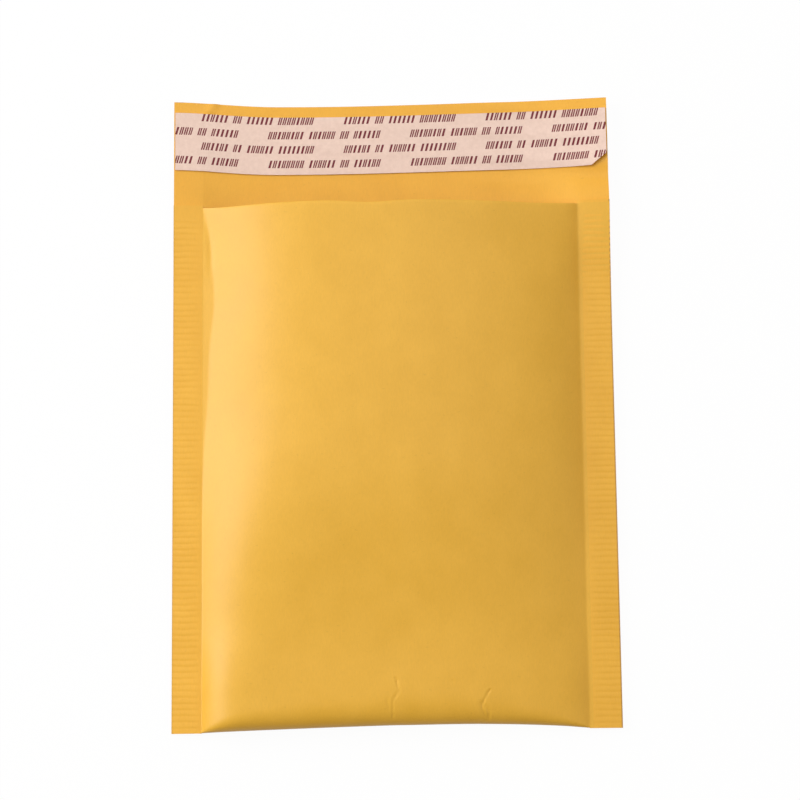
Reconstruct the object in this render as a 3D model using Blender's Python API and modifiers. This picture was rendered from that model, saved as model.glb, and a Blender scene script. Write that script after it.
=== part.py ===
"""Padded mailing envelope of kraft paper with an air-bubble lining.

It lies on its back, flap open. +X is across it, +Y runs from the bottom fold to the flap and +Z is
up. The origin is the middle of its base. Lengths are in metres.
"""

import math

import bmesh
import bpy
from mathutils import Matrix, Vector

# The envelope pressed flat
WIDTH = 0.150
POCKET_LENGTH = 0.180
FLAP_LENGTH = 0.037
SEAL_WIDTH = 0.010
PAPER = 0.0003

# The pocket's standing shape, held open by its lining
MOUTH_HEIGHT = 0.0160
TOE_HEIGHT = 0.0105
TOE_LENGTH = 0.020
SWELL_LENGTH = 0.060
SHOULDER_POWER = 3.6
FLAT_HALF_WIDTH = 0.046
SEAL_RISE = 0.0022
SEAL_SLOPE = 0.08
FOLD_BOW = 0.0012
FLAP_CURL = 0.0035
FLAP_EASE = 0.016

# The heat seals, crimped across their length
SEAL_FILM = 0.0001
SEAL_COVER = 0.00012
RIB_PITCH = 0.00205
RIB_HEIGHT = 0.00016
PLAIN_SEAL_LENGTH = 0.0035

# The air-bubble lining
LAYER_GAP = 0.0003
FILM = 0.0003
BUBBLE_HEIGHT = 0.0035
BUBBLE_PITCH = 0.0123
BUBBLE_TOP_SHARE = 0.70
LINING_SIDE_GAP = 0.0025
LINING_SETBACK = 0.0015

# The adhesive and its liner, on the inner face of the flap
LINER_EDGE_GAP = 0.0034
LINER_WIDTH = 0.0200
LINER_SIDE_GAP = 0.0005
LINER_THICKNESS = 0.0003
LINER_CLIP_ACROSS = 0.0052
LINER_CLIP_ALONG = 0.0041
ADHESIVE_WIDTH = 0.0150
ADHESIVE_SIDE_GAP = 0.0020
ADHESIVE_THICKNESS = 0.0003

# Mesh density
POCKET_COLUMNS = 8
BACK_ROWS = 5
NOSE_ROWS = 8
FRONT_ROWS = 16
FLAP_ROWS = 6
STRIP_COLUMNS = 16
STRIP_ROWS = 2

HALF_WIDTH = WIDTH / 2
POCKET_HALF = HALF_WIDTH - SEAL_WIDTH
LENGTH = POCKET_LENGTH + FLAP_LENGTH
FOLD_Y = -LENGTH / 2
PLY_STEP = PAPER + SEAL_FILM
SEAL_THICKNESS = PLY_STEP + PAPER + 2 * SEAL_COVER
SHEET_INSET = SEAL_COVER
NOSE_TIP = SHEET_INSET + PAPER / 2


def smooth(value):
    """Ease from 0 to 1 without a corner at either end."""
    share = min(max(value, 0.0), 1.0)
    return share * share * (3 - 2 * share)


def pocket_height(x):
    """Middle of the back panel's paper between and in the seals."""
    reach = abs(x)
    if reach > POCKET_HALF:
        return SEAL_RISE - (reach - POCKET_HALF) * SEAL_SLOPE
    side = max(reach - FLAT_HALF_WIDTH, 0.0) / (POCKET_HALF - FLAT_HALF_WIDTH)
    return PAPER / 2 + (SEAL_RISE - PAPER / 2) * side * side


def back_height(x, along):
    """Middle of the paper of the back panel and the flap, at a distance along from the fold."""
    past_mouth = along - POCKET_LENGTH
    if past_mouth <= 0:
        return pocket_height(x)
    curl = FLAP_CURL * (abs(x) / HALF_WIDTH) ** 3
    ease = smooth(past_mouth / FLAP_EASE)
    return pocket_height(x) * (1 - ease) + (PAPER / 2 + curl) * ease


def front_height(x, along):
    """Middle of the front panel's paper, domed between the seals and lower towards the fold."""
    base = pocket_height(x) + PLY_STEP
    across = min(abs(x) / POCKET_HALF, 1.0)
    dome = 1 - across ** SHOULDER_POWER
    swell = smooth((along - TOE_LENGTH) / SWELL_LENGTH)
    top = TOE_HEIGHT + (MOUTH_HEIGHT - TOE_HEIGHT) * swell - PAPER / 2
    return base + (top - base) * dome


def nose_radius(x):
    """Radius of the bottom fold, half the pocket's thickness beside it."""
    return (front_height(x, 0.0) - back_height(x, 0.0)) / 2


def mouth_run(x):
    """Length of paper from the tip of the fold to the mouth."""
    radius = nose_radius(x)
    return POCKET_LENGTH - SHEET_INSET - NOSE_TIP - radius + radius * math.pi / 2


def ply_place(x, run):
    """Distance along the pocket and nose angle for a run of paper from the fold's tip."""
    radius = nose_radius(x)
    quarter = radius * math.pi / 2
    if abs(run) < quarter:
        return radius * (1 - math.cos(run / radius)), run / radius
    return radius + abs(run) - quarter, math.copysign(math.pi / 2, run)


def folded(x, run):
    """Point of the folded sheet: run is positive up the front and negative up the back."""
    place, angle = ply_place(x, run)
    radius = nose_radius(x)
    along = NOSE_TIP + place
    if abs(angle) < math.pi / 2:
        height = back_height(x, 0.0) + radius * (1 + math.sin(angle))
    elif run > 0:
        height = front_height(x, along)
    else:
        height = back_height(x, along)
    bow = FOLD_BOW * (1 - min(abs(x) / POCKET_HALF, 1.0) ** 2)
    bow_left = max(1 - along / POCKET_LENGTH, 0.0)
    return Vector((x, FOLD_Y + along + bow * bow_left, height))


def outward(x, run):
    """Unit normal of the folded sheet, away from the pocket."""
    step = PAPER / 20
    across = folded(x + step, run) - folded(x - step, run)
    onward = folded(x, run + step) - folded(x, run - step)
    return across.cross(onward).normalized()


def half_gap(x, run):
    """Half the height of the pocket at a point of the sheet."""
    along = NOSE_TIP + ply_place(x, run)[0]
    clear = max(along, nose_radius(x))
    return (front_height(x, clear) - back_height(x, clear)) / 2


def paint(name, colour, roughness, alpha=1.0):
    """A plain surface finish."""
    material = bpy.data.materials.new(name)
    material.use_nodes = True
    shader = material.node_tree.nodes["Principled BSDF"]
    shader.inputs["Base Color"].default_value = (*colour, 1.0)
    shader.inputs["Roughness"].default_value = roughness
    shader.inputs["Metallic"].default_value = 0.0
    shader.inputs["Alpha"].default_value = alpha
    return material


def add_to(collection, mesh_object, name):
    """Name an object and keep it in one collection only."""
    for other in list(mesh_object.users_collection):
        other.objects.unlink(mesh_object)
    collection.objects.link(mesh_object)
    mesh_object.name = name
    mesh_object.data.name = name
    return mesh_object


def mapped_grid(columns, rows, place):
    """A grid whose point at a column and a row is moved to place(column, row)."""
    bpy.ops.mesh.primitive_grid_add(x_subdivisions=columns, y_subdivisions=rows, size=1)
    grid = bpy.context.object
    for vertex in grid.data.vertices:
        column = round((vertex.co.x + 0.5) * columns)
        row = round((vertex.co.y + 0.5) * rows)
        vertex.co = place(column, row)
    return grid


def thicken(sheet, thickness, offset):
    """Give an open sheet its thickness."""
    solidify = sheet.modifiers.new("Thickness", "SOLIDIFY")
    solidify.thickness = thickness
    solidify.offset = offset
    return sheet


def sheet_column(column):
    """Distance from the centre line of a column of the kraft sheet, closer towards the seals."""
    place = column - (POCKET_COLUMNS + 1)
    if abs(place) > POCKET_COLUMNS:
        return math.copysign(HALF_WIDTH - SHEET_INSET, place)
    return POCKET_HALF * math.sin(math.pi / 2 * place / POCKET_COLUMNS)


def sheet_point(column, row):
    """Point of the kraft sheet, from the flap's edge over the back and the fold to the mouth."""
    x = sheet_column(column)
    mouth = mouth_run(x)
    quarter = nose_radius(x) * math.pi / 2
    if row < FLAP_ROWS:
        to_edge = LENGTH - (POCKET_LENGTH - SHEET_INSET)
        return folded(x, -mouth - to_edge * (1 - row / FLAP_ROWS))
    row -= FLAP_ROWS
    if row < BACK_ROWS:
        return folded(x, -mouth + (mouth - quarter) * row / BACK_ROWS)
    row -= BACK_ROWS
    if row < NOSE_ROWS:
        return folded(x, quarter * (2 * row / NOSE_ROWS - 1))
    row -= NOSE_ROWS
    return folded(x, quarter + (mouth - quarter) * row / FRONT_ROWS)


def crimped_seal(side, cutters):
    """One ribbed side seal, both plies pressed into one strip."""
    ribs = int((POCKET_LENGTH - PLAIN_SEAL_LENGTH) / RIB_PITCH)
    rows = 2 * ribs + 1
    inner = POCKET_HALF + LAYER_GAP

    def seal_point(column, row):
        x = side * (inner + (HALF_WIDTH - inner) * column)
        along = POCKET_LENGTH if row == rows else row * RIB_PITCH / 2
        crest = 0.5 if row % 2 else -0.5
        height = pocket_height(x) + PLY_STEP / 2 + RIB_HEIGHT * crest
        return Vector((x, FOLD_Y + along, height))

    strip = mapped_grid(1, rows, seal_point)
    if side < 0:
        strip.data.flip_normals()
    thicken(strip, SEAL_THICKNESS, 0.0)
    strip.hide_render = True
    strip.display_type = "WIRE"
    return add_to(cutters, strip, "right_seal_strip" if side > 0 else "left_seal_strip")


def kraft_envelope(parts, cutters):
    """The outer sheet, folded at the bottom and sealed down both sides."""
    rows = FLAP_ROWS + BACK_ROWS + NOSE_ROWS + FRONT_ROWS
    envelope = mapped_grid(2 * POCKET_COLUMNS + 2, rows, sheet_point)
    thicken(envelope, PAPER, 0.0)
    for side in (-1, 1):
        join = envelope.modifiers.new("Seal", "BOOLEAN")
        join.operation = "UNION"
        join.solver = "EXACT"
        join.object = crimped_seal(side, cutters)
    envelope.data.materials.append(paint("golden kraft paper", (0.80, 0.45, 0.065), 0.62))
    return add_to(parts, envelope, "kraft_envelope")


def bubble_lining(parts):
    """The bubble film: a flat sheet of six-sided cells, raised into bubbles and then folded."""
    half_width = POCKET_HALF - LINING_SIDE_GAP
    half_run = mouth_run(0.0) - LINING_SETBACK
    cell_radius = BUBBLE_PITCH / math.sqrt(3)
    row_step = BUBBLE_PITCH * math.sqrt(3) / 2
    columns = math.ceil(half_width / BUBBLE_PITCH) + 1
    rows = math.ceil(half_run / row_step) + 1

    film = bmesh.new()
    for row in range(-rows, rows + 1):
        for column in range(-columns, columns + 1):
            centre = Vector(((column + row % 2 / 2) * BUBBLE_PITCH, row * row_step, 0.0))
            bmesh.ops.create_circle(film, cap_ends=True, segments=6, radius=cell_radius,
                                    matrix=Matrix.Translation(centre))
    bmesh.ops.remove_doubles(film, verts=film.verts, dist=cell_radius / 100)
    edges = ((half_width, Vector((1, 0, 0))), (half_run, Vector((0, 1, 0))))
    for reach, axis in edges:
        for sign in (-1, 1):
            geometry = film.verts[:] + film.edges[:] + film.faces[:]
            bmesh.ops.bisect_plane(film, geom=geometry, dist=cell_radius / 1000, clear_outer=True,
                                   plane_co=axis * reach * sign, plane_no=axis * sign)
    whole_cell = max(face.calc_area() for face in film.faces)
    for face in film.faces:
        face.normal_update()
        if face.normal.z > 0:
            face.normal_flip()
    backing = bmesh.ops.duplicate(film, geom=film.verts[:] + film.edges[:] + film.faces[:])
    backing_faces = [item for item in backing["geom"] if isinstance(item, bmesh.types.BMFace)]
    backing_verts = {vertex for face in backing_faces for vertex in face.verts}
    bmesh.ops.reverse_faces(film, faces=backing_faces)
    inner_faces = [face for face in film.faces if face not in set(backing_faces)]
    for vertex in film.verts:
        vertex.co.z = 0.0 if vertex in backing_verts else -FILM
    rims = [edge for edge in film.edges if edge.is_boundary]
    bmesh.ops.bridge_loops(film, edges=rims)

    cells = [face for face in inner_faces if face.calc_area() > 0.99 * whole_cell]
    raised = bmesh.ops.extrude_discrete_faces(film, faces=cells)["faces"]
    for face in raised:
        centre = face.calc_center_median()
        run = centre.y * mouth_run(centre.x) / mouth_run(0.0)
        room = 0.9 * half_gap(centre.x, run) - PAPER / 2 - LAYER_GAP - FILM
        height = min(BUBBLE_HEIGHT, max(room, FILM))
        for vertex in face.verts:
            flat = centre + (vertex.co - centre) * BUBBLE_TOP_SHARE
            vertex.co = flat - Vector((0, 0, height))

    for vertex in film.verts:
        x = vertex.co.x
        run = vertex.co.y * mouth_run(x) / mouth_run(0.0)
        depth = PAPER / 2 + LAYER_GAP - vertex.co.z
        vertex.co = folded(x, run) - outward(x, run) * depth
    bmesh.ops.recalc_face_normals(film, faces=film.faces)
    if film.calc_volume(signed=True) < 0:
        bmesh.ops.reverse_faces(film, faces=film.faces)
    mesh = bpy.data.meshes.new("bubble_lining")
    film.to_mesh(mesh)
    film.free()
    lining = bpy.data.objects.new("bubble_lining", mesh)
    lining.data.materials.append(paint("bubble film", (0.86, 0.88, 0.90), 0.25, 0.6))
    return add_to(parts, lining, "bubble_lining")


def flap_strip(half_width, low, high, height, thickness):
    """A strip laid on the flap, from low to high along it and at a height over the paper."""
    def strip_point(column, row):
        x = half_width * (2 * column / STRIP_COLUMNS - 1)
        along = low + (high - low) * row / STRIP_ROWS
        return Vector((x, FOLD_Y + along, back_height(x, along) + height))

    return thicken(mapped_grid(STRIP_COLUMNS, STRIP_ROWS, strip_point), thickness, 1.0)


def adhesive_strip(parts):
    """The band of hot-melt adhesive under the liner."""
    middle = LENGTH - LINER_EDGE_GAP - LINER_WIDTH / 2
    adhesive = flap_strip(HALF_WIDTH - ADHESIVE_SIDE_GAP,
                          middle - ADHESIVE_WIDTH / 2, middle + ADHESIVE_WIDTH / 2,
                          PAPER / 2 + LAYER_GAP, ADHESIVE_THICKNESS)
    adhesive.data.materials.append(paint("hot-melt adhesive", (0.80, 0.66, 0.38), 0.3))
    return add_to(parts, adhesive, "adhesive_strip")


def release_liner(parts):
    """The siliconed paper over the adhesive, one lower corner clipped off."""
    high = LENGTH - LINER_EDGE_GAP
    low = high - LINER_WIDTH
    half_width = HALF_WIDTH - LINER_SIDE_GAP
    level = PAPER / 2 + LAYER_GAP + ADHESIVE_THICKNESS + LAYER_GAP
    liner = flap_strip(half_width, low, high, level, LINER_THICKNESS)
    mesh = bmesh.new()
    mesh.from_mesh(liner.data)
    corner = Vector((half_width - LINER_CLIP_ACROSS, FOLD_Y + low, 0.0))
    across_cut = Vector((LINER_CLIP_ALONG, -LINER_CLIP_ACROSS, 0.0)).normalized()
    bmesh.ops.bisect_plane(mesh, geom=mesh.verts[:] + mesh.edges[:] + mesh.faces[:],
                           plane_co=corner, plane_no=across_cut, clear_outer=True)
    mesh.to_mesh(liner.data)
    mesh.free()
    liner.data.materials.append(paint("siliconed liner", (0.86, 0.66, 0.58), 0.45))
    return add_to(parts, liner, "release_liner")


def build():
    """Clear the file and make the envelope's pieces."""
    for old in list(bpy.data.objects):
        bpy.data.objects.remove(old, do_unlink=True)
    parts = bpy.data.collections.new("padded_envelope")
    cutters = bpy.data.collections.new("seal_strips")
    for collection in (parts, cutters):
        bpy.context.scene.collection.children.link(collection)
    kraft_envelope(parts, cutters)
    bubble_lining(parts)
    adhesive_strip(parts)
    release_liner(parts)


build()
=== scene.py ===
import math

import bmesh
import bpy
from mathutils import Matrix, Vector, noise


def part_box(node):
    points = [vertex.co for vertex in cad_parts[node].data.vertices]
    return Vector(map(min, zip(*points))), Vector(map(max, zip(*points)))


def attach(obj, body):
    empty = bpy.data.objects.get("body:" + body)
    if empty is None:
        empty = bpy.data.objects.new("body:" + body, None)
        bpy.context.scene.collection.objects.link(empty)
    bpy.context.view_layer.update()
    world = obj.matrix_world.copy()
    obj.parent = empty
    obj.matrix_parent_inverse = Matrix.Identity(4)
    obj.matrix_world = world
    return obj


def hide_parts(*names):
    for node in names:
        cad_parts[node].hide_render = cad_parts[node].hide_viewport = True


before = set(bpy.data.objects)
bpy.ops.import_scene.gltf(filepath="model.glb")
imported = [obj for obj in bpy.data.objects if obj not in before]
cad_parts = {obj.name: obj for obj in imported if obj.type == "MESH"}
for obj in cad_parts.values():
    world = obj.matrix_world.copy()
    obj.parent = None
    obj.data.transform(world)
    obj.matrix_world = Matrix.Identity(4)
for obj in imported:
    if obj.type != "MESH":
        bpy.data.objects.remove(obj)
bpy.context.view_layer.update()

bpy.ops.object.select_all(action="DESELECT")


# Kraft sheet. One sheet of smooth golden kraft paper makes the flap, the back, the bottom fold and
# the front. It is cut flat, folded once across the bottom and welded to itself down each side, and
# its lining holds the pocket open.
sheet_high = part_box("kraft_envelope")[1]
half_width = 0.075
seal_width = 0.010
right_seal_extra = 0.0010
pocket_half = half_width - seal_width
pocket_length = 0.180
fold_y = -sheet_high.y
envelope_length = 2 * sheet_high.y
flap_length = envelope_length - pocket_length
paper = 0.00024
ply_step = paper + 0.0001
weld_cover = 0.00006
sheet_inset = weld_cover
fold_tip = sheet_inset + paper / 2


def smooth(value):
    """Ease from 0 to 1 without a corner at either end."""
    share = min(max(value, 0.0), 1.0)
    return share * share * (3 - 2 * share)


def bell(distance, reach):
    """1 at no distance, fading evenly to nothing."""
    return math.exp(-(distance / reach) ** 2)


# The right edge curls up from a little below the mouth, most on the flap
right_edge_curl = 0.0054
right_curl_start = 0.042
right_curl_power = 1.5
right_curl_foot = 0.138
right_curl_length = 0.070
right_curl_fade = 0.35


def edge_curl(x, along):
    """How far the right edge curls up, from a little below the mouth on."""
    near_edge = max(x - right_curl_start, 0.0) / (half_width - right_curl_start)
    grown = smooth((along - right_curl_foot) / right_curl_length)
    fade = 1 - right_curl_fade * max(along - pocket_length, 0.0) / flap_length
    return right_edge_curl * near_edge ** right_curl_power * grown * fade


# The back lies flat in the middle and rises to the seals, which slope down to their outer edges
flat_half = 0.046
seal_rise = 0.0022
seal_slope = 0.08
left_seal_turn = 0.08
left_turn_foot = 0.150
left_turn_length = 0.030


def pocket_level(x, along):
    """Middle of the back panel's paper between and in the seals."""
    reach = abs(x)
    if reach > pocket_half:
        slope = seal_slope * (1 - smooth(along / pocket_length))
        if x < 0:
            slope -= left_seal_turn * smooth((along - left_turn_foot) / left_turn_length)
        return seal_rise - (reach - pocket_half) * slope + edge_curl(x, along)
    side = max(reach - flat_half, 0.0) / (pocket_half - flat_half)
    return paper / 2 + (seal_rise - paper / 2) * side * side + edge_curl(x, along)


# Past the mouth the slack flap settles on the table, with its own curl, cockles and ruck
left_flap_curl = 0.0026
left_flap_ease = 0.030
right_flap_ease = 0.010
cockle_height = 0.00035
cockles_across, cockles_along = 38, 30
ruck_height = 0.00022
ruck_start = 0.006
rucks_along, rucks_across = 700, 60


def back_level(x, along):
    """Middle of the back panel's paper and, past the mouth, of the flap's."""
    past_mouth = along - pocket_length
    level = pocket_level(x, along)
    if past_mouth <= 0:
        return level
    turn_up = smooth((x + half_width) / (2 * half_width))
    curl = left_flap_curl * (-x / half_width) ** 3 if x < 0 else edge_curl(x, along)
    ease = smooth(past_mouth / (left_flap_ease + (right_flap_ease - left_flap_ease) * turn_up))
    level = level * (1 - ease) + (paper / 2 + curl) * ease
    cockle = cockle_height * noise.noise(Vector((x * cockles_across, along * cockles_along, 4.0)))
    wave = math.sin(past_mouth * rucks_along + x * rucks_across)
    ruck = ruck_height * turn_up * smooth(past_mouth / ruck_start) * wave
    return level + max(cockle + ruck, 0.0) * ease


# Below the left corner of the mouth the shoulder is tucked in, beside a low gusset with a groove
tuck_depth = 0.0040
tuck_peak = 0.162
tuck_foot = 0.070
tuck_mouth_power = 1.3
tuck_wobble = 0.12
tuck_waves = 190
gusset_slope = 0.42
tuck_groove = 0.00035
groove_foot, groove_foot_ease = 0.154, 0.010
groove_head, groove_head_ease = 0.177, 0.008
groove_setback = 0.0008
groove_width = 0.0010


def corner_tuck(along):
    """How far the left shoulder stands in from the seal below the mouth's corner."""
    below_mouth = min(max((pocket_length - along) / (pocket_length - tuck_peak), 0.0), 1.0)
    towards_mouth = math.sin(below_mouth * math.pi / 2) ** tuck_mouth_power
    towards_fold = smooth((along - tuck_foot) / (tuck_peak - tuck_foot))
    wobble = 1 + tuck_wobble * math.sin((along - tuck_foot) * tuck_waves)
    return tuck_depth * towards_mouth * towards_fold * wobble


# The front is low by the fold and swells to the mouth. Its shoulders are sharper where the power is
# higher, and the right half is rounder than the left.
mouth_height = sheet_high.z
toe_height = 0.0108
toe_length = 0.020
swell_length = 0.072
nose_end = 0.0124
shoulder_power_by_fold = 8.2
shoulder_power_at_mouth = 3.2
shoulder_change = 0.100
left_corner_power = 4.5
right_corner_power = 7.0
corner_length = 0.025
right_roundness = 0.66
right_mouth_foot = 0.140
right_mouth_length = 0.035
right_mouth_roundness = 0.14
right_mouth_power = 9
lip_run = 0.0012
lip_drop = 0.00022
lip_end_fade = 3


def front_level(x, along):
    """Middle of the front panel's paper, domed between its shoulders."""
    base = pocket_level(x, along) + ply_step
    change = smooth((along - nose_end) / shoulder_change)
    by_corner = 1 - smooth((along - nose_end) / corner_length)
    if x < 0:
        inset = corner_tuck(along)
        across = min(-x / (pocket_half - inset), 1.0)
        power = shoulder_power_by_fold + (shoulder_power_at_mouth - shoulder_power_by_fold) * change
        power += left_corner_power * by_corner
        dome = 1 - across ** power
        gusset = gusset_slope * max(min(pocket_half + x, inset), 0.0)
        deepest = smooth((along - groove_foot) / groove_foot_ease)
        deepest *= smooth((groove_head - along) / groove_head_ease)
        gusset -= tuck_groove * deepest * bell(pocket_half + x - inset + groove_setback, groove_width)
    else:
        across = min(x / (pocket_half - right_seal_extra), 1.0)
        by_mouth = smooth((along - right_mouth_foot) / right_mouth_length)
        flat_share = right_roundness + right_mouth_roundness * by_mouth
        power = shoulder_power_by_fold + right_corner_power * by_corner + change
        power += right_mouth_power * by_mouth
        dome = 1 - (1 - flat_share) * across ** power - flat_share * across ** 2
        gusset = 0.0
    swell = smooth((along - toe_length) / swell_length)
    top = toe_height + (mouth_height - toe_height) * swell - paper / 2
    lip = max(along - (pocket_length - sheet_inset - lip_run), 0.0) / lip_run
    turned_in = lip_drop * lip ** 2 * min(lip_end_fade * dome, 1.0)
    return base + gusset + (top - base - gusset) * dome - turned_in


def fold_radius(x):
    """Radius of the bottom fold, half of the pocket's thickness beside it."""
    return (front_level(x, 0.0) - back_level(x, 0.0)) / 2


# The filled pocket draws the bottom fold in from the straight line between the seals' ends
left_fold_bow = 0.0016
right_fold_bow = 0.0018
left_bow_power = 1.2
right_bow_power = 3
bow_change = 0.03
left_end_drop = 0.0004
right_end_drop = 0.0001
right_drop_start = 0.85
right_drop_share = 0.12


def fold_bow(x):
    """How far the filled pocket draws the bottom fold in from the seals' ends."""
    across = min(abs(x) / pocket_half, 1.0)
    skew = left_end_drop * (x / half_width - 1) / 2
    if x < 0:
        return left_fold_bow * (1 - across ** left_bow_power) + skew
    bow = left_fold_bow + (right_fold_bow - left_fold_bow) * smooth(x / bow_change)
    drop = right_end_drop * smooth((across - right_drop_start) / right_drop_share)
    return bow - right_fold_bow * across ** right_bow_power - drop + skew


# The front rolls into the fold over a longer way than a round fold would, least by the seals
left_nose_reach = 1.8
right_nose_reach = 2.3
nose_change_start = -0.05
nose_change_width = 0.06
nose_end_power = 4
nose_turn_power = 1.5
nose_fullness = 2 / 3


def front_nose_reach(x):
    """Length of the front's roll into the fold, for a fold radius of 1."""
    across = min(abs(x) / pocket_half, 1.0)
    change = smooth((x - nose_change_start) / nose_change_width)
    reach = left_nose_reach + (right_nose_reach - left_nose_reach) * change
    return 1 + (reach - 1) * (1 - across ** nose_end_power)


# The bulge draws the mouth's cut edge back, and it dips a little left of the middle
mouth_setback = 0.0008
mouth_pull = 0.0010
mouth_pull_power = 8
mouth_dip = 0.0009
mouth_dip_place = -0.008
mouth_dip_reach = 0.010
mouth_draw_foot = 0.135
mouth_draw_length = 0.045


def mouth_draw(x, along):
    """How far the bulge draws the front panel's cut edge back from the mouth line."""
    across = min(abs(x) / pocket_half, 1.0)
    draw = mouth_setback + mouth_pull * (1 - across ** mouth_pull_power)
    draw += mouth_dip * bell(x - mouth_dip_place, mouth_dip_reach)
    return draw * smooth((along - mouth_draw_foot) / mouth_draw_length)


# The flap's far edge hangs back between its ends
flap_hollow = 0.0015
hollow_rise = 0.037
hollow_fall_start = 0.030
hollow_fall = 0.100
hollow_ease = 0.014


def flap_draw(x):
    """How far the slack flap hangs back from a straight edge, most left of the middle."""
    left_rise = smooth((x + half_width) / hollow_rise)
    return flap_hollow * left_rise * (1 - smooth((x + hollow_fall_start) / hollow_fall))


def mouth_run(x):
    """Length of paper from the tip of the fold to the mouth."""
    radius = fold_radius(x)
    return pocket_length - sheet_inset - fold_tip - radius * (1 - math.pi / 2)


def folded(x, run):
    """Point of the folded sheet: run is positive up the front and negative up the back."""
    radius = fold_radius(x)
    quarter = radius * math.pi / 2
    if 0 <= run < quarter:
        turn = math.pi / 2 * (1 - (1 - run / quarter) ** nose_turn_power)
        along = fold_tip + radius * front_nose_reach(x) * (1 - math.cos(turn) ** nose_fullness)
        level = back_level(x, 0.0) + radius * (1 + math.sin(turn))
        drawn = 0.0
    elif -quarter < run < 0:
        along = fold_tip + radius * (1 - math.cos(run / radius))
        level = back_level(x, 0.0) + radius * (1 + math.sin(run / radius))
        drawn = 0.0
    elif run > 0:
        share = (run - quarter) / (mouth_run(x) - quarter)
        start = fold_tip + radius * front_nose_reach(x)
        along = start + (pocket_length - sheet_inset - start) * share
        level = front_level(x, along)
        drawn = mouth_draw(x, along)
    else:
        along = fold_tip + radius - run - quarter
        level = back_level(x, along)
        drawn = flap_draw(x) * smooth((along - pocket_length) / hollow_ease)
    bow = fold_bow(x) * max(1 - along / pocket_length, 0.0)
    return Vector((x, fold_y + along + bow - drawn, level))


def outward(x, run):
    """Unit normal of the folded sheet, away from the pocket."""
    step = paper / 20
    across = folded(x + step, run) - folded(x - step, run)
    onward = folded(x, run + step) - folded(x, run - step)
    return across.cross(onward).normalized()


def from_line(place, points):
    """Distance from a place on the sheet to a line of points."""
    nearest = 1.0
    for start, end in zip(points, points[1:]):
        leg = end - start
        share = min(max((place - start).dot(leg) / leg.dot(leg), 0.0), 1.0)
        nearest = min(nearest, (place - start - leg * share).length)
    return nearest


# Creases and dents of the front by the fold, in millimetres from the centre line and from the
# bottom fold, each with its width and depth in metres
middle_crease = ((-0.3, 16.7), (0.7, 12.6), (-1.4, 9.4), (-1.4, 4.0))
middle_dent = ((-3.3, 9.6), (-2.6, 6.6))
right_crease = ((30.7, 12.5), (29.2, 10.1), (27.6, 7.6), (28.6, 5.1), (31.0, 1.5))
right_fork = ((27.4, 8.4), (30.0, 6.4), (30.4, 3.5))
left_dent = ((-29.6, 15.6), (-29.3, 11.7), (-27.0, 10.6), (-23.7, 8.6))
small_dent = ((18.3, 15.7), (19.2, 13.2))
creases = [
    ([Vector(point) / 1000 for point in line], width, depth)
    for line, width, depth in (
        (middle_crease, 0.00038, 0.00024),
        (middle_dent, 0.00060, 0.00012),
        (right_crease, 0.00040, 0.00029),
        (right_fork, 0.00046, 0.00024),
        (left_dent, 0.00080, 0.00012),
        (small_dent, 0.00060, 0.00014))]
creased_length = 0.020
crease_reach = 4
crease_stray = 0.00045
strays_across, strays_along = 300, 900
even_depth, uneven_depth = 0.9, 0.6
depth_waves = 420
ridge_share, ridge_place = 0.22, 1.8

# Slow waves of the filled front, in waves a metre, and where they fade beside the seals
slow_height, slow_across, slow_along = 0.00030, 24, 19
quick_height, quick_across, quick_along = 0.00010, 55, 47
wave_fade = 0.012


def front_relief(x, along):
    """Small heights of the front: slow unevenness and a few creases by the fold."""
    inside = smooth((pocket_half - abs(x)) / wave_fade)
    slow = noise.noise(Vector((x * slow_across, along * slow_along, 1.5))) * slow_height
    quick = noise.noise(Vector((x * quick_across, along * quick_along, 7.5))) * quick_height
    relief = (slow + quick) * inside
    if along > creased_length:
        return relief
    stray = crease_stray * noise.noise(Vector((x * strays_across, along * strays_along, 5.0)))
    place = Vector((x + stray, along))
    wave = noise.noise(Vector((x * depth_waves, along * depth_waves, 8.0)))
    uneven = even_depth + uneven_depth * wave
    for points, width, depth in creases:
        distance = from_line(place, points)
        if distance < crease_reach * width:
            relief -= depth * uneven * math.exp(-distance / width)
            relief += ridge_share * depth * uneven * bell(distance - ridge_place * width, width)
    return relief


def even_places(low, high, count):
    """Evenly spaced values from low to high, both ends included."""
    return [low + (high - low) * step / count for step in range(count + 1)]


# Columns of the grid, closest at the creases and on the shoulders
pocket_columns = even_places(-pocket_half, -0.050, 30)
for zone_start, zone_end, zone_columns in (
        (-0.050, -0.0055, 34), (-0.0055, 0.0045, 40), (0.0045, 0.0255, 24),
        (0.0255, 0.0335, 32), (0.0335, 0.050, 12), (0.050, pocket_half, 26)):
    pocket_columns += even_places(zone_start, zone_end, zone_columns)[1:]
margin = even_places(pocket_half, half_width - sheet_inset, 3)[1:]
sheet_columns = [-x for x in reversed(margin)] + pocket_columns + margin

# Rows of the grid, from the flap's edge to the front's, closest at the fold
flap_rows, back_rows, under_rows, nose_rows, toe_rows, front_rows, lip_rows = 24, 18, 8, 20, 70, 72, 4
toe_run = 0.020


def sheet_run(x, row):
    """Run of paper of a row of the blank, from the flap's edge to the front's."""
    mouth = mouth_run(x)
    quarter = fold_radius(x) * math.pi / 2
    if row < flap_rows:
        to_edge = envelope_length - (pocket_length - sheet_inset)
        return -mouth - to_edge * (1 - row / flap_rows)
    row -= flap_rows
    if row < back_rows:
        return -mouth + (mouth - quarter) * row / back_rows
    row -= back_rows
    if row < under_rows:
        return quarter * (row / under_rows - 1)
    row -= under_rows
    if row < nose_rows:
        return quarter * row / nose_rows
    row -= nose_rows
    if row < toe_rows:
        return quarter + toe_run * row / toe_rows
    row -= toe_rows
    if row < front_rows:
        return quarter + toe_run + (mouth - quarter - toe_run - lip_run) * row / front_rows
    row -= front_rows
    return mouth - lip_run * (1 - row / lip_rows)


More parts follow.
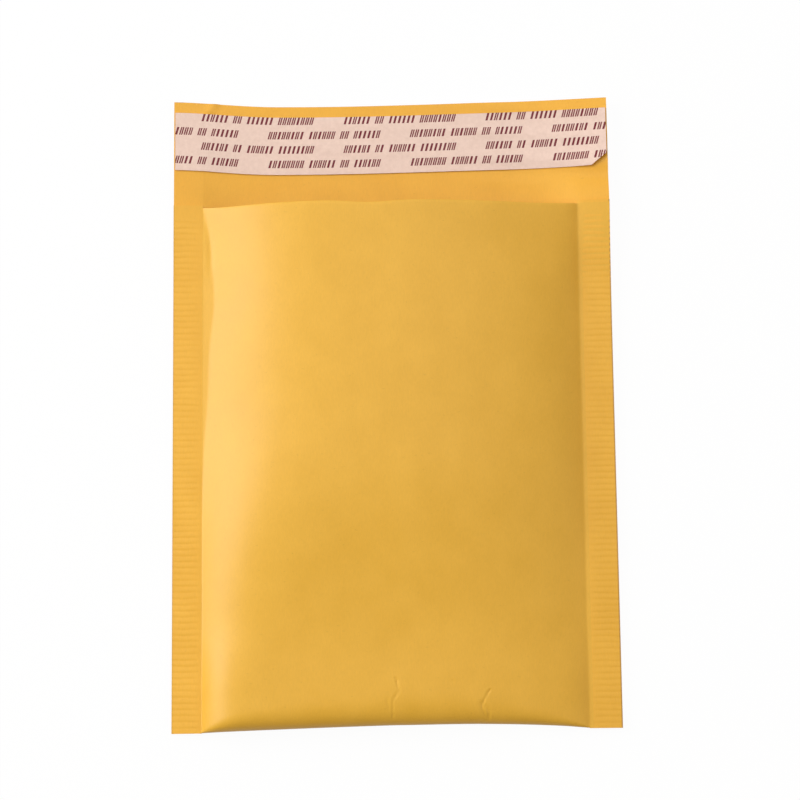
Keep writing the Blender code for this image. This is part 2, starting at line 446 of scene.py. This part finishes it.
def folded_grid(name, columns, rows, place):
    """A flat grid whose point at a column and a row is moved to place(column, row)."""
    bpy.ops.object.select_all(action="DESELECT")
    bpy.ops.mesh.primitive_grid_add(x_subdivisions=columns, y_subdivisions=rows, size=1)
    grid = bpy.context.object
    grid.name = name
    for vertex in grid.data.vertices:
        column = round((vertex.co.x + 0.5) * columns)
        row = round((vertex.co.y + 0.5) * rows)
        vertex.co = place(column, row)
    grid.data.update()
    return grid


# Edges that turn less than this are shaded as one surface
smooth_below = math.radians(50)


def thicken(sheet, thickness, offset, inner_material=0):
    """Give a sheet its thickness for good, and smooth its shading."""
    solidify = sheet.modifiers.new("Thickness", "SOLIDIFY")
    solidify.thickness = thickness
    solidify.offset = offset
    solidify.material_offset = inner_material
    bpy.context.view_layer.objects.active = sheet
    bpy.ops.object.modifier_apply(modifier=solidify.name)
    bpy.ops.object.shade_smooth_by_angle(angle=smooth_below)


# A small crease near the left corner of the flap, and how soon the relief starts on the roll
flap_crease = [Vector((-0.0638, 0.2134)), Vector((-0.0602, 0.2168))]
flap_crease_foot = 0.210
flap_crease_height = 0.00045
flap_crease_width = 0.0009
relief_start = 0.5


def blank_point(column, row):
    """Place of one point of the cut blank once it is folded."""
    x = sheet_columns[column]
    run = sheet_run(x, row)
    point = folded(x, run)
    if run > 0 and abs(x) < pocket_half:
        rolled = smooth(run / (relief_start * fold_radius(x) * math.pi / 2))
        point += outward(x, run) * front_relief(x, point.y - fold_y) * rolled
    elif point.y - fold_y > flap_crease_foot:
        from_crease = from_line(Vector((x, point.y - fold_y)), flap_crease)
        point.z += flap_crease_height * bell(from_crease, flap_crease_width)
    return point


sheet_rows = flap_rows + back_rows + under_rows + nose_rows + toe_rows + front_rows + lip_rows
kraft_sheet = folded_grid("kraft_sheet", len(sheet_columns) - 1, sheet_rows, blank_point)


def noise_texture(nodes, links, coordinates, scale, stretch, detail, roughness):
    """Noise at so many features a metre, stretched along the paper's grain."""
    mapping = nodes.new("ShaderNodeMapping")
    mapping.inputs["Scale"].default_value = stretch
    links.new(coordinates, mapping.inputs["Vector"])
    texture = nodes.new("ShaderNodeTexNoise")
    texture.inputs["Scale"].default_value = scale
    texture.inputs["Detail"].default_value = detail
    texture.inputs["Roughness"].default_value = roughness
    links.new(mapping.outputs["Vector"], texture.inputs["Vector"])
    return texture.outputs["Fac"]


def colour_ramp(nodes, links, value, stops):
    """A ramp from a value to colours, given as (place, colour) pairs."""
    ramp = nodes.new("ShaderNodeValToRGB")
    while len(ramp.color_ramp.elements) < len(stops):
        ramp.color_ramp.elements.new(1.0)
    for element, (place, colour) in zip(ramp.color_ramp.elements, stops):
        element.position = place
        element.color = (*colour, 1.0)
    links.new(value, ramp.inputs["Fac"])
    return ramp.outputs["Color"]


def blend_colours(nodes, links, share, first, second, how="MIX"):
    """Mix of two colour outputs by a share, which is an output or a number."""
    mix = nodes.new("ShaderNodeMix")
    mix.data_type = "RGBA"
    mix.blend_type = how
    if isinstance(share, float):
        mix.inputs[0].default_value = share
    else:
        links.new(share, mix.inputs[0])
    links.new(first, mix.inputs[6])
    links.new(second, mix.inputs[7])
    return mix.outputs[2]


def painted_edge_shadow(nodes, links, place):
    """Share of painted shadow along the outer cut edges, stronger at the right, away from the light.
    """
    parts = nodes.new("ShaderNodeSeparateXYZ")
    links.new(place, parts.inputs["Vector"])
    scaled = nodes.new("ShaderNodeMapRange")
    scaled.inputs["From Min"].default_value = -half_width
    scaled.inputs["From Max"].default_value = half_width
    links.new(parts.outputs["X"], scaled.inputs["Value"])
    shares = ((0.0, 0.35), (0.0018, 0.0), (0.9976, 0.0), (0.9996, 0.85))
    return colour_ramp(nodes, links, scaled.outputs["Result"],
                       [(position, (share, share, share)) for position, share in shares])


# Shades laid over the pulp, and the dark browns of a painted shadow line along the outer cut edges
fibre_shade = (0.93, 0.92, 0.90)
fleck_shade = (0.86, 0.83, 0.78)
edge_shadow_dark = (0.30, 0.13, 0.04)
edge_shadow_light = (0.36, 0.17, 0.05)


def golden_kraft(name, thin_pulp, thick_pulp, finish_range, sheen, with_painted_edge_shadow):
    """Smooth golden kraft: cloudy pulp, fine fibres along the web and a faint satin finish, and if
    asked a painted shadow line along the outer cut edges.
    """
    material = bpy.data.materials.new(name)
    material.use_nodes = True
    nodes, links = material.node_tree.nodes, material.node_tree.links
    shader = nodes["Principled BSDF"]
    place = nodes.new("ShaderNodeTexCoord").outputs["Object"]
    cloud = noise_texture(nodes, links, place, 90.0, (1.0, 0.8, 1.0), 4.0, 0.55)
    fibre = noise_texture(nodes, links, place, 2600.0, (1.0, 0.22, 1.0), 3.0, 0.6)
    fleck = noise_texture(nodes, links, place, 1500.0, (0.5, 1.0, 1.0), 2.0, 0.5)
    pulp = colour_ramp(nodes, links, cloud, [(0.30, thin_pulp), (0.70, thick_pulp)])
    fibres = colour_ramp(nodes, links, fibre, [(0.30, fibre_shade), (0.70, (1.0, 1.0, 1.0))])
    flecks = colour_ramp(nodes, links, fleck, [(0.24, fleck_shade), (0.33, (1.0, 1.0, 1.0))])
    colour = blend_colours(nodes, links, 0.75, pulp, fibres, "MULTIPLY")
    colour = blend_colours(nodes, links, 0.55, colour, flecks, "MULTIPLY")
    # Painted shadow: a dark brown line along the outer cut edges, strongest at the right, stands in
    # for the shade under and beside the edge.
    if with_painted_edge_shadow:
        painted_edge_shade = colour_ramp(nodes, links, cloud, [(0.0, edge_shadow_dark), (1.0, edge_shadow_light)])
        colour = blend_colours(nodes, links, painted_edge_shadow(nodes, links, place), colour, painted_edge_shade)
    links.new(colour, shader.inputs["Base Color"])
    finish = nodes.new("ShaderNodeMapRange")
    finish.inputs["To Min"].default_value = finish_range[0]
    finish.inputs["To Max"].default_value = finish_range[1]
    links.new(cloud, finish.inputs["Value"])
    links.new(finish.outputs["Result"], shader.inputs["Roughness"])
    shader.inputs["Specular IOR Level"].default_value = sheen
    surface = nodes.new("ShaderNodeBump")
    surface.inputs["Strength"].default_value = 0.35
    surface.inputs["Distance"].default_value = 0.00003
    links.new(fibre, surface.inputs["Height"])
    cockle = nodes.new("ShaderNodeBump")
    cockle.inputs["Strength"].default_value = 0.5
    cockle.inputs["Distance"].default_value = 0.00010
    links.new(cloud, cockle.inputs["Height"])
    links.new(surface.outputs["Normal"], cockle.inputs["Normal"])
    links.new(cockle.outputs["Normal"], shader.inputs["Normal"])
    return material


kraft_sheet.data.materials.append(golden_kraft(
    "golden_kraft_paper", (0.795, 0.428, 0.027), (0.840, 0.460, 0.036), (0.42, 0.52), 0.62, False))
kraft_sheet.data.materials.append(golden_kraft(
    "kraft_paper_inside", (0.850, 0.416, 0.019), (0.890, 0.448, 0.027), (0.40, 0.50), 0.60, False))
thicken(kraft_sheet, paper, 0.0, 1)
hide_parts("kraft_envelope")
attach(kraft_sheet, "root")


# Side seals. Where the front and back papers meet they are welded together with the film between
# them by a ribbed bar, which leaves a crimped band 10 mm wide down each side.
rib_pitch = 0.00205
rib_height = 0.000065
half_pitch_share = 0.30
half_pitch_lag = 0.8
rib_stray = 0.9
press_change = 0.45
plain_seal = 0.0035
pressed_columns = 2.2
rib_steps = 8
seal_columns = 8
seal_thickness = ply_step + paper + 2 * weld_cover
seal_rows = int(pocket_length / rib_pitch * rib_steps)


def crimp(along, across, side):
    """Height of the ribs: a wave with a weaker one at half its pitch, both a little uneven."""
    stray = rib_stray * noise.noise(Vector((across * 260, along * 150, 3.0 + side)))
    turn = 2 * math.pi * along / rib_pitch + stray
    fade = smooth((pocket_length - plain_seal - along) / rib_pitch) * smooth(along / rib_pitch)
    press = 1 + press_change * noise.noise(Vector((across * 120, along * 330, 6.0 - side)))
    wave = math.sin(turn) + half_pitch_share * math.sin(2 * turn + half_pitch_lag)
    return rib_height / 2 * fade * press * wave


# The welded seals carry the painted shadow line along their outer cut edges.
welded_kraft = golden_kraft(
    "welded_kraft_paper", (0.835, 0.432, 0.027), (0.880, 0.468, 0.037), (0.45, 0.55), 0.60, True)
for side, seal_name in ((-1, "left_side_seal"), (1, "right_side_seal")):
    def seal_point(column, row, side=side):
        inner = pocket_half if side < 0 else pocket_half - right_seal_extra
        reach = inner + (half_width - inner) * column / seal_columns
        along = pocket_length * row / seal_rows
        drop = fold_bow(side * half_width) * (1 - along / pocket_length)
        pressed = smooth(column / pressed_columns)
        level = pocket_level(side * reach, along) + ply_step / 2
        level += crimp(along, reach, side) * pressed - weld_cover * (1 - pressed)
        return Vector((side * reach, fold_y + along + drop, level))

    seal = folded_grid(seal_name, seal_columns, seal_rows, seal_point)
    if side < 0:
        seal.data.flip_normals()
    thicken(seal, seal_thickness, 0.0)
    seal.data.materials.append(welded_kraft)
    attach(seal, "root")


# Bubble lining. Clear polythene bubble film, a flat film with air domes sealed to it, domes inwards.
# It is folded with the paper, caught in the side seals and ends just inside the mouth.
film = 0.00012
film_gap = 0.00010
crease_film_gap = 0.00050
crease_room_end = 0.029
crease_room_ease = 0.004
bubble_pitch = 0.0123
bubble_radius = 0.0053
bubble_height = 0.0035
bubble_seat = 0.6
bubble_side_share = 0.8
bubble_gap_share = 0.45
dome_fullness = 0.75
dome_flatness = 0.7
lining_side_gap = 0.0022
lining_setback = 0.0026
lining_half_width = pocket_half - lining_side_gap - right_seal_extra
lining_half_run = mouth_run(0.0) - lining_setback
film_columns, film_rows = 54, 150


def pocket_point(x, flat_run, depth):
    """Place inside the pocket, at a depth in from the paper's inner face."""
    run = flat_run * mouth_run(x) / mouth_run(0.0)
    by_creases = smooth(flat_run / crease_room_ease)
    by_creases *= smooth((crease_room_end - flat_run) / crease_room_ease)
    return folded(x, run) - outward(x, run) * (paper / 2 + depth + crease_film_gap * by_creases)


def film_edge(x, flat_run):
    """Keeps the film's left edge clear of the tucked corner."""
    if x >= 0 or flat_run <= 0:
        return x
    along = min(abs(flat_run), pocket_length)
    room = (lining_half_width - corner_tuck(along)) / lining_half_width
    return x * room


def film_point(column, row):
    """Place of one point of the flat film, its columns closer towards the sides."""
    x = lining_half_width * math.sin(math.pi / 2 * (2 * column / film_columns - 1))
    run = lining_half_run * (2 * row / film_rows - 1)
    return pocket_point(film_edge(x, run), run, film_gap + film / 2)


def bubble_room(x, flat_run):
    """Height free for a bubble between the paper and the middle of the pocket."""
    run = flat_run * mouth_run(x) / mouth_run(0.0)
    radius = fold_radius(x)
    along = max(fold_tip + radius + abs(run) - radius * math.pi / 2, radius)
    gap = front_level(x, along) - back_level(x, along)
    return bubble_gap_share * gap - paper / 2 - film_gap - film


bubble_lining = folded_grid("bubble_film", film_columns, film_rows, film_point)
thicken(bubble_lining, film, 0.0)

# One dome, from a ball whose lower half is pressed flat, is set down all over the film. The ball's
# points and faces come in a new order on each run, so they are sorted first.
bpy.ops.object.select_all(action="DESELECT")
bpy.ops.mesh.primitive_uv_sphere_add(segments=10, ring_count=6, radius=1)
dome = bpy.context.object
ball_points = sorted(dome.data.vertices, key=lambda vertex: tuple(vertex.co))
sorted_index = {vertex.index: index for index, vertex in enumerate(ball_points)}
dome_faces = sorted([sorted_index[index] for index in face.vertices] for face in dome.data.polygons)
dome_points = []
for vertex in ball_points:
    ring = max(Vector((vertex.co.x, vertex.co.y)).length, 0.001)
    fuller = ring ** dome_fullness / ring if vertex.co.z > 0 else 1.0
    height = max(vertex.co.z, 0.0) ** dome_flatness
    dome_points.append(Vector((vertex.co.x * fuller, vertex.co.y * fuller, height)))
bpy.data.objects.remove(dome, do_unlink=True)

bubbles = bmesh.new()
row_step = bubble_pitch * math.sqrt(3) / 2
last_row = math.floor((lining_half_run - bubble_radius) / row_step)
last_column = math.ceil(lining_half_width / bubble_pitch)
for row in range(-last_row, last_row + 1):
    for column in range(-last_column, last_column + 1):
        middle_x = (column + row % 2 / 2) * bubble_pitch
        middle_run = row * row_step
        if abs(middle_x) + bubble_side_share * bubble_radius > lining_half_width:
            continue
        height = min(bubble_height, bubble_room(film_edge(middle_x, middle_run), middle_run))
        if height < film:
            continue
        corners = []
        for point in dome_points:
            x = film_edge(middle_x + point.x * bubble_radius, middle_run)
            x = min(max(x, -lining_half_width), lining_half_width)
            depth = film_gap + film * bubble_seat + point.z * height
            run = middle_run + point.y * bubble_radius
            corners.append(bubbles.verts.new(pocket_point(x, run, depth)))
        for face in dome_faces:
            bubbles.faces.new([corners[index] for index in reversed(face)])
bubble_mesh = bpy.data.meshes.new("air_bubbles")
bubbles.to_mesh(bubble_mesh)
bubbles.free()
air_bubbles = bpy.data.objects.new("air_bubbles", bubble_mesh)
bpy.context.scene.collection.objects.link(air_bubbles)
bpy.ops.object.select_all(action="DESELECT")
air_bubbles.select_set(True)
bubble_lining.select_set(True)
bpy.context.view_layer.objects.active = bubble_lining
bpy.ops.object.join()
bpy.ops.object.shade_smooth_by_angle(angle=smooth_below)


def clear_film():
    """Thin clear polythene, a little milky, with a soft wavy gloss."""
    material = bpy.data.materials.new("bubble_film")
    material.use_nodes = True
    nodes, links = material.node_tree.nodes, material.node_tree.links
    shader = nodes["Principled BSDF"]
    place = nodes.new("ShaderNodeTexCoord").outputs["Object"]
    haze = noise_texture(nodes, links, place, 160.0, (1.0, 1.0, 1.0), 3.0, 0.5)
    tint = colour_ramp(nodes, links, haze, [(0.3, (0.80, 0.83, 0.86)), (0.7, (0.92, 0.94, 0.96))])
    links.new(tint, shader.inputs["Base Color"])
    shader.inputs["Roughness"].default_value = 0.14
    shader.inputs["Alpha"].default_value = 0.13
    ripple = nodes.new("ShaderNodeBump")
    ripple.inputs["Strength"].default_value = 0.4
    ripple.inputs["Distance"].default_value = 0.0003
    links.new(haze, ripple.inputs["Height"])
    links.new(ripple.outputs["Normal"], shader.inputs["Normal"])
    return material


bubble_lining.data.materials.append(clear_film())
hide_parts("bubble_lining")
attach(bubble_lining, "root")


# Adhesive. A band of pale amber hot-melt adhesive rolled onto the flap's inner face, and covered
# by the liner until the envelope is closed.
adhesive_low, adhesive_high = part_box("adhesive_strip")
adhesive_film = 0.00018
adhesive_gap = 0.00001
ragged_edge = 0.0003
adhesive_columns, adhesive_rows = 90, 10
adhesive_half = adhesive_high.x
adhesive_start = adhesive_low.y - fold_y
adhesive_end = adhesive_high.y - fold_y


def on_flap(x, along, height):
    """Place over the flap's upper face."""
    run = -(along - fold_tip - fold_radius(x) + fold_radius(x) * math.pi / 2)
    point = folded(x, run)
    return point + Vector((0, 0, paper / 2 + height))


def adhesive_point(column, row):
    """Place of one point of the rolled band, its two long edges a little ragged."""
    x = adhesive_half * (2 * column / adhesive_columns - 1)
    along = adhesive_start + (adhesive_end - adhesive_start) * row / adhesive_rows
    ragged = ragged_edge * noise.noise(Vector((x * 300, along * 40, 2.0)))
    return on_flap(x, along + ragged * (row in (0, adhesive_rows)), adhesive_gap)


def hot_melt():
    """Tacky pale amber adhesive, glossy and slightly streaked from its roller."""
    material = bpy.data.materials.new("hot_melt_adhesive")
    material.use_nodes = True
    nodes, links = material.node_tree.nodes, material.node_tree.links
    shader = nodes["Principled BSDF"]
    place = nodes.new("ShaderNodeTexCoord").outputs["Object"]
    streak = noise_texture(nodes, links, place, 500.0, (0.08, 1.0, 1.0), 3.0, 0.5)
    amber = colour_ramp(nodes, links, streak, [(0.3, (0.74, 0.55, 0.24)), (0.7, (0.82, 0.64, 0.32))])
    links.new(amber, shader.inputs["Base Color"])
    shader.inputs["Roughness"].default_value = 0.22
    rolled = nodes.new("ShaderNodeBump")
    rolled.inputs["Strength"].default_value = 0.5
    rolled.inputs["Distance"].default_value = 0.00005
    links.new(streak, rolled.inputs["Height"])
    links.new(rolled.outputs["Normal"], shader.inputs["Normal"])
    return material


adhesive = folded_grid("adhesive_band", adhesive_columns, adhesive_rows, adhesive_point)
thicken(adhesive, adhesive_film, 1.0)
adhesive.data.materials.append(hot_melt())
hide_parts("adhesive_strip")
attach(adhesive, "root")


# Release liner. A strip of thin siliconed paper, pale pink with rows of small dark red marks, laid
# over the adhesive from edge to edge. Its lower right corner is clipped and lifts a little.
liner_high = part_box("release_liner")[1]
liner_paper = 0.00012
liner_gap = 0.00003
liner_half = liner_high.x
liner_setback = 0.0005
liner_end = liner_high.y - fold_y - liner_setback
liner_width = 0.0205
liner_cockle = 0.00010
corner_lift = 0.0011
corner_lift_reach = 0.013
clip_across = 0.0052
clip_along = 0.0041
liner_columns, liner_rows = 150, 24


def liner_point(column, row):
    """Place of one point of the liner, cockled a little and lifted at its lower right corner."""
    x = liner_half * (2 * column / liner_columns - 1)
    along = liner_end - liner_width * (1 - row / liner_rows)
    to_corner = Vector((liner_half - x, along - (liner_end - liner_width))).length
    lift = corner_lift * smooth(1 - to_corner / corner_lift_reach)
    cockle = liner_cockle * (1 + noise.noise(Vector((x * 60, along * 90, 9.0))))
    return on_flap(x, along, adhesive_film + liner_gap + cockle + lift)


def printed_liner():
    """Pale pink siliconed paper with rows of slanted dark red ticks, alternate rows reversed."""
    row_pitch = 0.00514
    first_row = -0.0013
    mark_height = 0.0027
    mark_slant = 0.28
    phrase = 0.0493
    phrase_start = 0.0655
    reversed_shift = -0.1112
    cell = 0.00156
    tick_middle = 0.45
    pair_spread = 0.22
    pair_half_width = 0.150
    wide_half_width = 0.24
    wide_chance = 0.45
    thin_ink, thick_ink = 0.86, 0.3
    material = bpy.data.materials.new("printed_release_liner")
    material.use_nodes = True
    nodes, links = material.node_tree.nodes, material.node_tree.links
    shader = nodes["Principled BSDF"]
    coordinates = nodes.new("ShaderNodeTexCoord")
    place = coordinates.outputs["Object"]
    parts = nodes.new("ShaderNodeSeparateXYZ")
    links.new(coordinates.outputs["UV"], parts.inputs["Vector"])

    def sum_of(how, first, second=None, third=None):
        """Output of one arithmetic node on outputs or numbers."""
        node = nodes.new("ShaderNodeMath")
        node.operation = how
        for socket, value in zip(node.inputs, (first, second, third)):
            if isinstance(value, (int, float)):
                socket.default_value = value
            elif value is not None:
                links.new(value, socket)
        return node.outputs[0]

    # Rows down the liner, and how far along its phrase and its cell a point lies
    down = sum_of("SUBTRACT", first_row, parts.outputs["Y"])
    rows_down = sum_of("DIVIDE", down, row_pitch)
    row_number = sum_of("ROUND", rows_down)
    in_row = sum_of("MULTIPLY", sum_of("SUBTRACT", rows_down, row_number), row_pitch)
    reversed_row = sum_of("ABSOLUTE", sum_of("MODULO", row_number, 2.0))
    turn = sum_of("SUBTRACT", 1.0, sum_of("MULTIPLY", reversed_row, 2.0))
    start = sum_of("ADD", phrase_start, sum_of("MULTIPLY", reversed_row, reversed_shift))
    forward = sum_of("MULTIPLY", sum_of("ADD", parts.outputs["X"], start), turn)
    upright = sum_of("MULTIPLY", in_row, turn)
    slanted = sum_of("ADD", forward, sum_of("MULTIPLY", upright, mark_slant))
    phrases = sum_of("DIVIDE", slanted, phrase)
    in_phrase = sum_of("MULTIPLY", sum_of("FRACT", phrases), phrase)
    cells = sum_of("DIVIDE", in_phrase, cell)

    # Cells that are printed in a phrase, with blank ones between the groups
    words = nodes.new("ShaderNodeValToRGB")
    words.color_ramp.interpolation = "CONSTANT"
    word_ends = [(0, 6), (7, 9), (10, 16), (17, 25)]
    stops = [(end * cell / phrase, 1 - index % 2)
             for index, end in enumerate(value for word in word_ends for value in word)]
    while len(words.color_ramp.elements) < len(stops):
        words.color_ramp.elements.new(1.0)
    for element, (position, shown) in zip(words.color_ramp.elements, stops):
        element.position = position
        element.color = (shown, shown, shown, 1.0)
    links.new(sum_of("FRACT", phrases), words.inputs["Fac"])

    # In a phrase's cell stands either a pair of thin ticks or one wide one, by chance
    in_cell = sum_of("FRACT", cells)
    chance = nodes.new("ShaderNodeTexWhiteNoise")
    chance.noise_dimensions = "2D"
    which = nodes.new("ShaderNodeCombineXYZ")
    links.new(sum_of("FLOOR", cells), which.inputs[0])
    links.new(row_number, which.inputs[1])
    links.new(which.outputs[0], chance.inputs["Vector"])
    wide_cell = sum_of("GREATER_THAN", chance.outputs["Value"], 1 - wide_chance)
    from_middle = sum_of("ABSOLUTE", sum_of("SUBTRACT", in_cell, tick_middle))
    from_pair = sum_of("ABSOLUTE", sum_of("SUBTRACT", from_middle, pair_spread))
    pair = sum_of("LESS_THAN", from_pair, pair_half_width)
    wide = sum_of("LESS_THAN", from_middle, wide_half_width)
    tick = sum_of("ADD", sum_of("MULTIPLY", wide, wide_cell),
                  sum_of("MULTIPLY", pair, sum_of("SUBTRACT", 1.0, wide_cell)))
    full = sum_of("LESS_THAN", sum_of("ABSOLUTE", in_row), mark_height / 2)
    ticks = sum_of("MULTIPLY", tick, full)
    marks = sum_of("MULTIPLY", ticks, words.outputs["Color"])
    worn = noise_texture(nodes, links, place, 1400.0, (1.0, 1.0, 1.0), 2.0, 0.5)
    ink = sum_of("MULTIPLY", marks, sum_of("ADD", thin_ink, sum_of("MULTIPLY", worn, thick_ink)))
    stock = noise_texture(nodes, links, place, 700.0, (1.0, 1.0, 1.0), 4.0, 0.6)
    pink = colour_ramp(nodes, links, stock, [(0.3, (0.76, 0.555, 0.46)), (0.7, (0.83, 0.62, 0.52))])
    red = nodes.new("ShaderNodeRGB")
    red.outputs[0].default_value = (0.17, 0.003, 0.014, 1.0)
    links.new(blend_colours(nodes, links, ink, pink, red.outputs[0]), shader.inputs["Base Color"])
    shader.inputs["Roughness"].default_value = 0.38
    surface = nodes.new("ShaderNodeBump")
    surface.inputs["Strength"].default_value = 0.25
    surface.inputs["Distance"].default_value = 0.00003
    links.new(stock, surface.inputs["Height"])
    links.new(surface.outputs["Normal"], shader.inputs["Normal"])
    return material


liner = folded_grid("release_liner_strip", liner_columns, liner_rows, liner_point)
for loop, corner in zip(liner.data.loops, liner.data.uv_layers.active.data):
    row, column = divmod(loop.vertex_index, liner_columns + 1)
    corner.uv = (liner_half * (2 * column / liner_columns - 1), liner_width * (row / liner_rows - 1))
liner_cut = bmesh.new()
liner_cut.from_mesh(liner.data)
clip_corner = Vector((liner_half - clip_across, fold_y + liner_end - liner_width, 0.0))
clip_normal = Vector((clip_along, -clip_across, 0.0)).normalized()
bmesh.ops.bisect_plane(liner_cut, geom=liner_cut.verts[:] + liner_cut.edges[:] + liner_cut.faces[:],
                       plane_co=clip_corner, plane_no=clip_normal, clear_outer=True)
liner_cut.to_mesh(liner.data)
liner_cut.free()
thicken(liner, liner_paper, 1.0)
liner.data.materials.append(printed_liner())
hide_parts("release_liner")
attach(liner, "root")


# Table. A plain white sweep lies under the envelope, with nothing on it. It is white to the camera
# and in reflections, and matt grey to the lights, so that it takes only a faint soft shadow.
def white_table():
    """Matt white that the camera sees as near white and that still takes a soft shadow."""
    table_white = 0.30
    table_glow = 1.09
    glow_share = 0.88
    material = bpy.data.materials.new("white_table")
    material.use_nodes = True
    nodes, links = material.node_tree.nodes, material.node_tree.links
    nodes.remove(nodes["Principled BSDF"])
    matt = nodes.new("ShaderNodeBsdfDiffuse")
    matt.inputs["Color"].default_value = (table_white, table_white, table_white, 1.0)
    glow = nodes.new("ShaderNodeEmission")
    glow.inputs["Strength"].default_value = table_glow
    rays = nodes.new("ShaderNodeLightPath")
    seen = nodes.new("ShaderNodeMath")
    seen.operation = "MAXIMUM"
    links.new(rays.outputs["Is Camera Ray"], seen.inputs[0])
    links.new(rays.outputs["Is Glossy Ray"], seen.inputs[1])
    seen_through = nodes.new("ShaderNodeMath")
    seen_through.operation = "MAXIMUM"
    links.new(seen.outputs[0], seen_through.inputs[0])
    links.new(rays.outputs["Is Transmission Ray"], seen_through.inputs[1])
    share = nodes.new("ShaderNodeMath")
    share.operation = "MULTIPLY"
    share.inputs[1].default_value = glow_share
    links.new(seen_through.outputs[0], share.inputs[0])
    mix = nodes.new("ShaderNodeMixShader")
    links.new(share.outputs[0], mix.inputs["Fac"])
    links.new(matt.outputs[0], mix.inputs[1])
    links.new(glow.outputs[0], mix.inputs[2])
    links.new(mix.outputs[0], nodes["Material Output"].inputs["Surface"])
    return material


table_size = 6
table_drop = 0.0001
bpy.ops.mesh.primitive_plane_add(size=table_size, location=(0, 0, -table_drop))
table = bpy.context.object
table.name = "white_table"
table.data.materials.append(white_table())


# Studio light. One big soft light stands low on the left, a weaker one hangs overhead and a faint
# warm one fills in from the right. The pale surroundings give less light from the front.
def soft_light(name, direction, distance, size, watts, colour):
    """A square soft light aimed at the envelope from a direction."""
    lamp = bpy.data.lights.new(name, "AREA")
    lamp.color = colour
    lamp.size = size
    lamp.energy = watts
    holder = bpy.data.objects.new(name, lamp)
    bpy.context.scene.collection.objects.link(holder)
    towards = Vector(direction).normalized()
    holder.location = towards * distance
    holder.rotation_mode = "QUATERNION"
    holder.rotation_quaternion = towards.to_track_quat("Z", "Y")
    return holder


soft_light("left_softbox", (-1.0, 0.30, 0.55), 1.3, 0.9, 13.0, (1.0, 1.0, 1.0))
soft_light("overhead_softbox", (0.05, 0.5, 1.0), 1.8, 1.4, 7.0, (1.0, 1.0, 1.0))
soft_light("right_fill", (1.0, -0.2, 0.6), 1.3, 0.9, 1.2, (1.0, 0.84, 0.62))

surroundings = bpy.data.worlds.new("pale_studio")
surroundings.use_nodes = True
bpy.context.scene.world = surroundings
world_nodes, world_links = surroundings.node_tree.nodes, surroundings.node_tree.links
ambient = world_nodes["Background"]
ambient.inputs["Color"].default_value = (1.0, 0.96, 0.93, 1.0)
direction = world_nodes.new("ShaderNodeSeparateXYZ")
world_links.new(world_nodes.new("ShaderNodeTexCoord").outputs["Generated"], direction.inputs["Vector"])
darker_in_front = world_nodes.new("ShaderNodeMapRange")
darker_in_front.inputs["From Min"].default_value = -0.9
darker_in_front.inputs["From Max"].default_value = 0.2
darker_in_front.inputs["To Min"].default_value = 0.30
darker_in_front.inputs["To Max"].default_value = 0.64
world_links.new(direction.outputs["Y"], darker_in_front.inputs["Value"])
world_links.new(darker_in_front.outputs["Result"], ambient.inputs["Strength"])
backdrop = world_nodes.new("ShaderNodeBackground")
backdrop.inputs["Strength"].default_value = 1.0
world_rays = world_nodes.new("ShaderNodeLightPath")
world_mix = world_nodes.new("ShaderNodeMixShader")
world_links.new(world_rays.outputs["Is Camera Ray"], world_mix.inputs["Fac"])
world_links.new(backdrop.outputs[0], world_mix.inputs[2])
dim_corners = world_nodes.new("ShaderNodeBackground")
dim_corners.inputs["Strength"].default_value = 0.10
reflected_mix = world_nodes.new("ShaderNodeMixShader")
world_links.new(world_rays.outputs["Is Glossy Ray"], reflected_mix.inputs["Fac"])
world_links.new(ambient.outputs[0], reflected_mix.inputs[1])
world_links.new(dim_corners.outputs[0], reflected_mix.inputs[2])
world_links.new(reflected_mix.outputs[0], world_mix.inputs[1])
world_links.new(world_mix.outputs[0], world_nodes["World Output"].inputs["Surface"])


# Camera. It looks down on the envelope from a little below the bottom fold, turned and rolled a
# little, with a long lens.
camera_azimuth = math.radians(-2.06)
camera_elevation = math.radians(80.0)
camera_roll = math.radians(-0.684)
camera_distance = 0.8178
camera_aim = Vector((0.00217, 0.00231, 0.005))
back = Vector((math.sin(camera_azimuth) * math.cos(camera_elevation),
               -math.cos(camera_azimuth) * math.cos(camera_elevation),
               math.sin(camera_elevation)))
level_right = Vector((0, 1, 0)).cross(back).normalized()
level_up = back.cross(level_right)
right = level_right * math.cos(camera_roll) + level_up * math.sin(camera_roll)
up = level_up * math.cos(camera_roll) - level_right * math.sin(camera_roll)
lens = bpy.data.cameras.new("overhead_camera")
lens.lens = 108.57
lens.sensor_width = 36.0
camera = bpy.data.objects.new("overhead_camera", lens)
bpy.context.scene.collection.objects.link(camera)
camera.matrix_world = (Matrix.Translation(camera_aim + back * camera_distance)
                       @ Matrix((right, up, back)).transposed().to_4x4())
bpy.context.scene.camera = camera
bpy.context.scene.view_settings.view_transform = "Standard"
